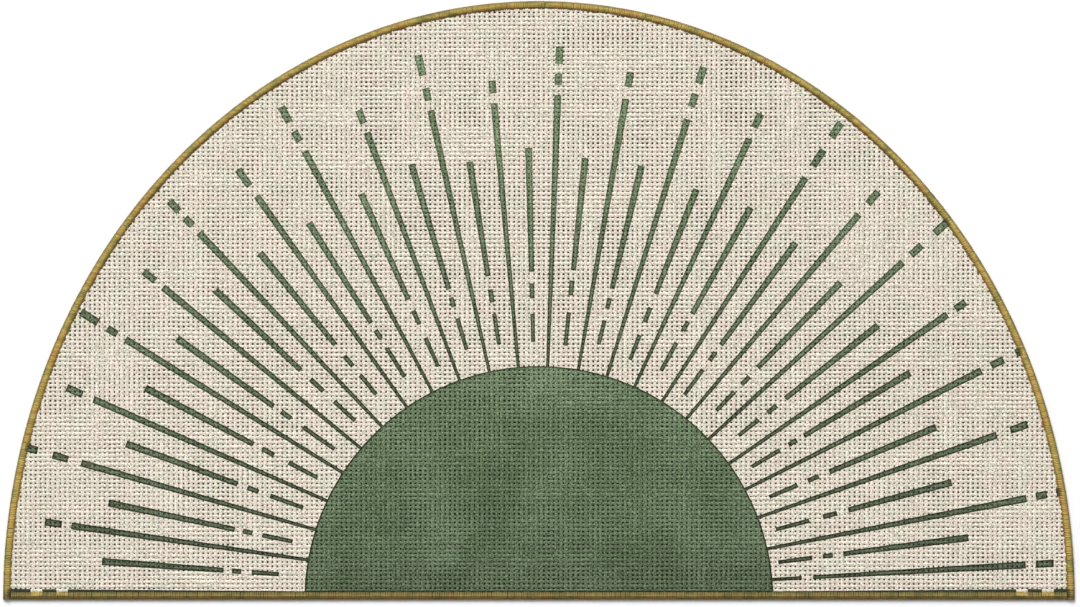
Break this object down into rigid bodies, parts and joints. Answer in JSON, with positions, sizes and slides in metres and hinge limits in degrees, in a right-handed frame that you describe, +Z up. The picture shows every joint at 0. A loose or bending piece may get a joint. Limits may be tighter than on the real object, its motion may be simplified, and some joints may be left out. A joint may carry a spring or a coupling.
{
  "type": "half-round doormat",
  "caption": "Flat half-round woven doormat for a doorway floor, with a rising sun and rays printed on it and a stitched yarn edging round its rim.",
  "frame": {"origin": "on the floor under the middle of the mat's outline", "axes": "+Z up out of the printed face; +X along the straight edge, to the right as the sun is seen upright; +Y from the straight edge towards the crown of the curve"},
  "size_m": [0.9, 0.503, 0.004],
  "materials": {
    "printed_canvas": "coarse plain-woven canvas in undyed cream, printed with a green sun and rays, matt",
    "edging_yarn": "thick ochre yarn overlocked round the rim, with a slight sheen"
  },
  "bodies": {
    "root": {"cloth_panel": "printed_canvas", "edging_curved": "edging_yarn", "edging_straight": "edging_yarn"}
  },
  "joints": []
}
